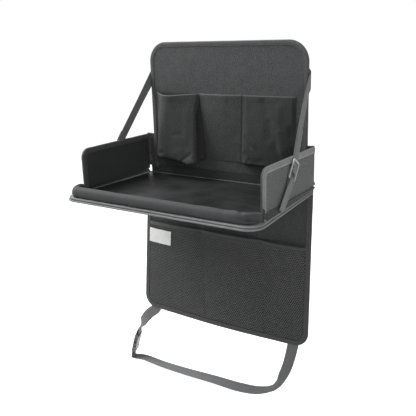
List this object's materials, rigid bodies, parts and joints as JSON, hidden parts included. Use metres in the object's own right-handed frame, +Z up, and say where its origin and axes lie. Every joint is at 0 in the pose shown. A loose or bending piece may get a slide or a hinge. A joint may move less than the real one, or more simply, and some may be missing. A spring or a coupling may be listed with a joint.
{
  "type": "car seat organizer with table",
  "caption": "Hanging car seat organizer: stiff upper panel with bottle pockets, fold-down tray with side wings, soft lower panel with a mesh pocket and a buckled strap.",
  "frame": {"origin": "on the rear face of the upper panel, on its centre line, level with the tray's top surface", "axes": "+X to the right-hand side seen from the front, +Y to the back towards the seat, +Z up"},
  "size_m": [0.481, 0.29, 0.7699],
  "materials": {
    "cloth": "fine plain-weave polyester, dark charcoal, backed with a coating",
    "lining": "thin plain-weave lining, black",
    "coated": "smooth wipe-clean coated cloth, low sheen",
    "board": "plain stiffening board inside the covers",
    "tape": "ribbed binding tape",
    "mesh": "knitted honeycomb net",
    "webbing": "woven polypropylene webbing",
    "plastic": "moulded acetal, satin",
    "tag": "white satin cloth, unprinted"
  },
  "bodies": {
    "back_panel": {"upper_back_cover": "lining", "upper_board": "board", "upper_front_cover": "cloth", "upper_binding": "tape", "bottle_pocket_left": "cloth", "bottle_pocket_right": "cloth", "flat_pocket": "cloth", "corner_strip_left": "lining", "corner_strip_right": "lining", "support_strap_left": "webbing", "support_strap_right": "webbing", "headrest_buckle_socket": "plastic", "headrest_strap_left": "webbing", "headrest_strap_right": "webbing"},
    "tray": {"tray_top_cover": "coated", "tray_board": "board", "tray_base_cover": "cloth", "tray_edge_upper": "tape", "tray_edge_lower": "tape", "front_wall": "cloth", "rear_gusset": "lining", "side_gusset_left": "lining", "side_gusset_right": "lining", "strap_adjuster_left": "plastic", "strap_adjuster_right": "plastic", "tray_strap_left": "webbing", "tray_strap_right": "webbing"},
    "wing_left": {"wing_left_inner_cover": "cloth", "wing_left_outer_cover": "cloth", "wing_left_board": "board", "wing_left_binding": "tape"},
    "wing_right": {"wing_right_inner_cover": "cloth", "wing_right_outer_cover": "cloth", "wing_right_board": "board", "wing_right_binding": "tape"},
    "lower_panel": {"fold_seam": "tape", "lower_front_cloth": "cloth", "lower_back_lining": "lining", "lower_binding": "tape", "mesh_pocket": "mesh", "mesh_hem": "tape", "blank_cloth_tag": "tag", "bottom_buckle_socket": "plastic", "bottom_strap_short": "webbing", "bottom_strap_long": "webbing"},
    "headrest_plug": {"headrest_buckle_plug": "plastic"},
    "headrest_prong_a": {"headrest_buckle_prong_a": "plastic"},
    "headrest_prong_b": {"headrest_buckle_prong_b": "plastic"},
    "bottom_plug": {"bottom_buckle_plug": "plastic"},
    "bottom_prong_a": {"bottom_buckle_prong_a": "plastic"},
    "bottom_prong_b": {"bottom_buckle_prong_b": "plastic"}
  },
  "joints": [
    {"name": "tray_fold", "type": "hinge", "parent": "back_panel", "child": "tray", "pos_m": [0, -0.0074, 0.02], "axis": [-1, 0, 0], "range_deg": [0, 90], "deforming": ["support_strap_left", "support_strap_right", "bottle_pocket_left", "bottle_pocket_right"]},
    {"name": "wing_left_fold", "type": "hinge", "parent": "tray", "child": "wing_left", "pos_m": [-0.204, 0, 0.0045], "axis": [0, 1, 0], "range_deg": [0, 90]},
    {"name": "wing_right_fold", "type": "hinge", "parent": "tray", "child": "wing_right", "pos_m": [0.204, 0, 0.0045], "axis": [0, -1, 0], "range_deg": [0, 90]},
    {"name": "lower_panel_fold", "type": "hinge", "parent": "back_panel", "child": "lower_panel", "pos_m": [0, -0.0027, -0.013], "axis": [-1, 0, 0], "range_deg": [-6.8, 75]},
    {"name": "headrest_buckle_release", "type": "slide", "parent": "back_panel", "child": "headrest_plug", "axis": [1, 0, 0], "range_m": [0, 0.022], "deforming": ["headrest_strap_right"]},
    {"name": "headrest_prong_a_bend", "type": "hinge", "parent": "headrest_plug", "child": "headrest_prong_a", "pos_m": [0.0054, 0.0148, 0.252], "axis": [0, 1, 0], "range_deg": [0, 16.5]},
    {"name": "headrest_prong_b_bend", "type": "hinge", "parent": "headrest_plug", "child": "headrest_prong_b", "pos_m": [0.0054, 0.0148, 0.272], "axis": [0, -1, 0], "range_deg": [0, 16.5]},
    {"name": "bottom_buckle_release", "type": "slide", "parent": "lower_panel", "child": "bottom_plug", "axis": [-0.2245, -0.1154, -0.9676], "range_m": [0, 0.022], "deforming": ["bottom_strap_long"]},
    {"name": "bottom_prong_a_bend", "type": "hinge", "parent": "bottom_plug", "child": "bottom_prong_a", "pos_m": [-0.25222, -0.03551, -0.4431], "axis": [0.9104, 0.3293, -0.2504], "range_deg": [0, 16.5]},
    {"name": "bottom_prong_b_bend", "type": "hinge", "parent": "bottom_plug", "child": "bottom_prong_b", "pos_m": [-0.24527, -0.05426, -0.44248], "axis": [-0.9104, -0.3293, 0.2504], "range_deg": [0, 16.5]}
  ],
  "couplings": [
    {"joint": "headrest_prong_a_bend", "follows": "headrest_buckle_release", "rad_per_m": 13.09},
    {"joint": "headrest_prong_b_bend", "follows": "headrest_buckle_release", "rad_per_m": 13.09},
    {"joint": "bottom_prong_a_bend", "follows": "bottom_buckle_release", "rad_per_m": 13.09},
    {"joint": "bottom_prong_b_bend", "follows": "bottom_buckle_release", "rad_per_m": 13.09}
  ]
}
